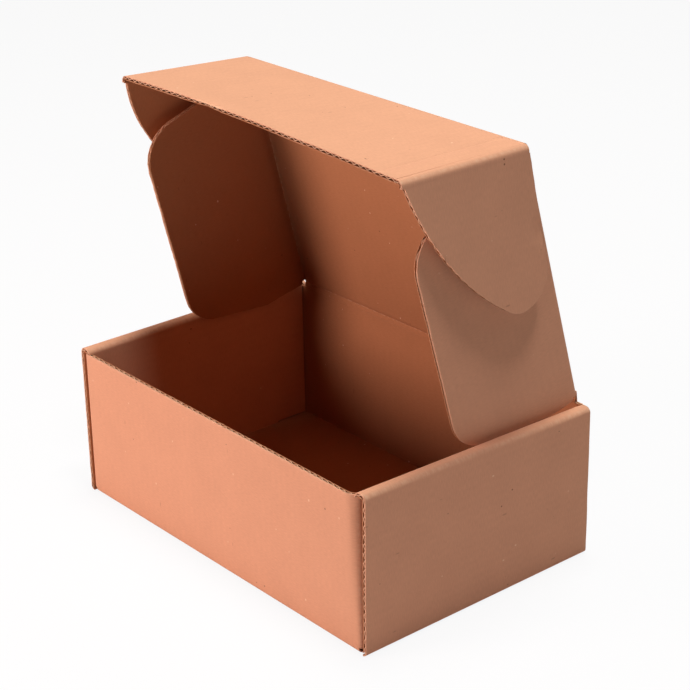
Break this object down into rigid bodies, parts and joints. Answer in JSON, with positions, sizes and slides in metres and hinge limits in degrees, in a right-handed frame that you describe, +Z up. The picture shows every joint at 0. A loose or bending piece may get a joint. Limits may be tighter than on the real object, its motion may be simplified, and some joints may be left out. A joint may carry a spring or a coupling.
{
  "type": "shipping box",
  "caption": "Open corrugated mailer box with rolled double side walls, hinged lid, front tuck flap, side dust flaps and rounded locking ears, for packing and shipping goods.",
  "frame": {"origin": "centre of the tray's base, on the surface it stands on", "axes": "+X to the right, front wall towards -Y, hinge and back wall towards +Y, +Z up"},
  "size_m": [0.32, 0.206, 0.3131],
  "materials": {
    "board": "matte kraft liner"
  },
  "bodies": {
    "tray": {"tray": "board"},
    "lid": {"lid": "board"},
    "tuck_flap": {"tuck_flap": "board"},
    "dust_flap_left": {"dust_flap_left": "board"},
    "dust_flap_right": {"dust_flap_right": "board"},
    "ear_left": {"ear_left": "board"},
    "ear_right": {"ear_right": "board"}
  },
  "joints": [
    {"name": "lid_hinge", "type": "hinge", "parent": "tray", "child": "lid", "pos_m": [0, 0.1015, 0.1185], "axis": [-1, 0, 0], "range_deg": [-44, 104]},
    {"name": "tuck_crease", "type": "hinge", "parent": "lid", "child": "tuck_flap", "pos_m": [0, 0.0518, 0.31068], "axis": [-1, 0, 0], "range_deg": [-15, 75]},
    {"name": "dust_crease_left", "type": "hinge", "parent": "lid", "child": "dust_flap_left", "pos_m": [-0.14535, 0.07665, 0.21459], "axis": [0.0207, -0.2503, 0.9679], "range_deg": [0, 60]},
    {"name": "dust_crease_right", "type": "hinge", "parent": "lid", "child": "dust_flap_right", "pos_m": [0.14535, 0.07665, 0.21459], "axis": [0.0207, 0.2503, -0.9679], "range_deg": [0, 60]},
    {"name": "ear_crease_left", "type": "hinge", "parent": "tuck_flap", "child": "ear_left", "pos_m": [-0.147, -0.0042, 0.31117], "axis": [0, 1, -0.0087], "range_deg": [0, 86]},
    {"name": "ear_crease_right", "type": "hinge", "parent": "tuck_flap", "child": "ear_right", "pos_m": [0.147, -0.0042, 0.31117], "axis": [0, -1, 0.0087], "range_deg": [0, 86]}
  ]
}
